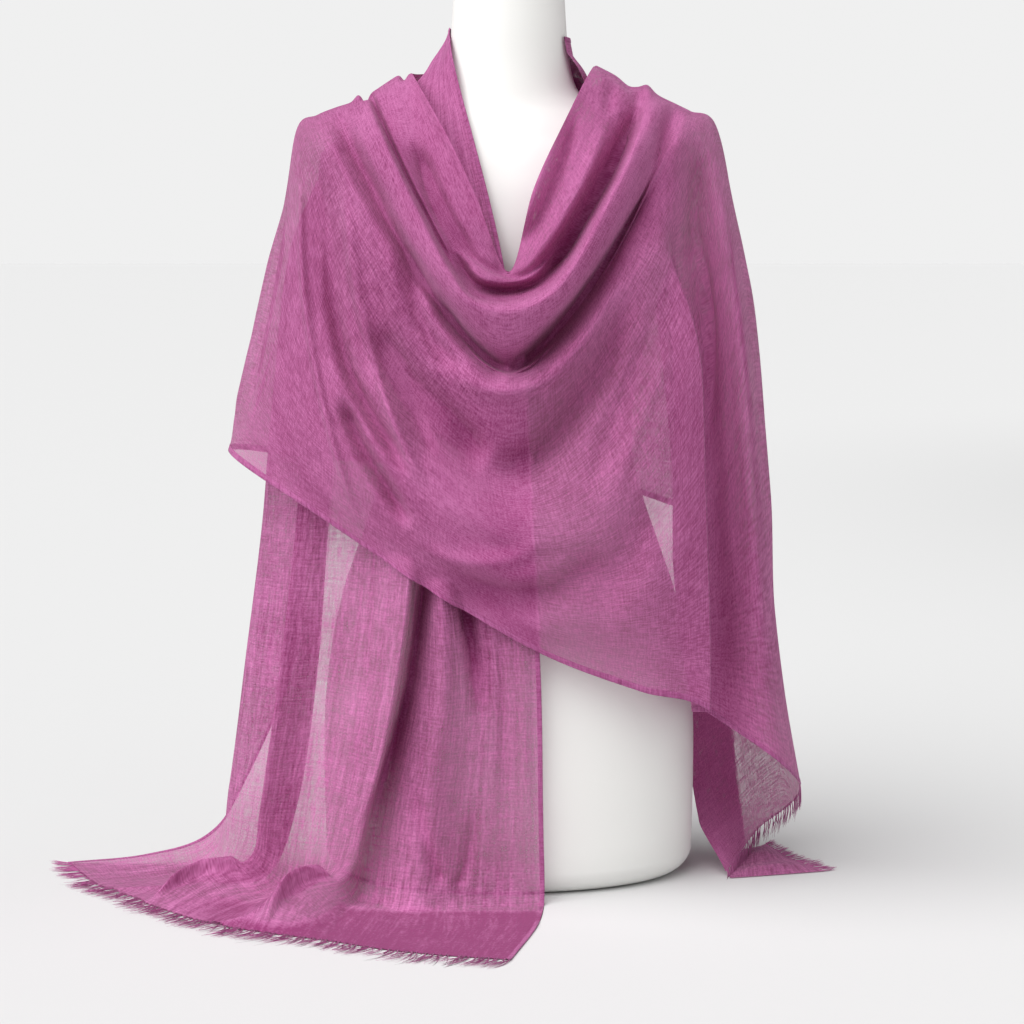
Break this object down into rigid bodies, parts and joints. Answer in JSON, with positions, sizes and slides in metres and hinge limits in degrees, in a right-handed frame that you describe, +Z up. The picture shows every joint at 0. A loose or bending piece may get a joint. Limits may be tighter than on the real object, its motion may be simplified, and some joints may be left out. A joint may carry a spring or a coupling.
{
  "type": "pashmina shawl on a limbless dress form",
  "caption": "Sheer pashmina shawl with fringed ends, wound as a cowl swag over a limbless white dress form, with one end trailing on the floor.",
  "frame": {"origin": "centre of the dress form's flat base, on the floor", "axes": "+Z up the form's axis, -Y the front of the form, +X towards the short right-hand fall"},
  "size_m": [0.7652, 0.509, 0.862],
  "materials": {
    "form_white": "smooth matt white",
    "pashmina": "fine sheer plain weave with a soft nap",
    "fringe": "loose warp ends"
  },
  "bodies": {
    "root": {"dress_form": "form_white", "front_swag": "pashmina", "right_fall": "pashmina", "back_drape": "pashmina", "neck_stretch": "pashmina", "left_fall": "pashmina", "right_tail": "pashmina", "left_fringe": "fringe", "right_fringe": "fringe", "tail_fringe": "fringe"}
  },
  "joints": []
}
